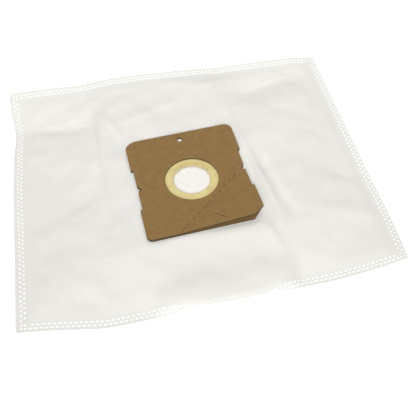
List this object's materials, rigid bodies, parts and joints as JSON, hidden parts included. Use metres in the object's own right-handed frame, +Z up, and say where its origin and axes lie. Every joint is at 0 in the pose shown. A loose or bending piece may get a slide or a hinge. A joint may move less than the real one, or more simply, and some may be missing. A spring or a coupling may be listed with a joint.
{
  "type": "vacuum cleaner dust bag",
  "caption": "Flat filter bag of two welded nonwoven sheets, with a die-cut cardboard collar and a rubber-sealed round inlet on its front; collects dust in a cylinder vacuum cleaner.",
  "frame": {"origin": "under the middle of the bag's outline, on the surface it lies on", "axes": "+X along the bag's width, +Y from its front edge to the back edge beyond the pin hole, +Z up out of the inlet"},
  "size_m": [0.3, 0.2552, 0.0164],
  "materials": {
    "nonwoven": "matte",
    "kraft_board": "matte",
    "seal_rubber": "matte"
  },
  "bodies": {
    "root": {"back_panel": "nonwoven", "front_panel": "nonwoven", "collar_back_board": "kraft_board", "inlet_seal": "seal_rubber", "collar_front_board": "kraft_board"}
  },
  "joints": []
}
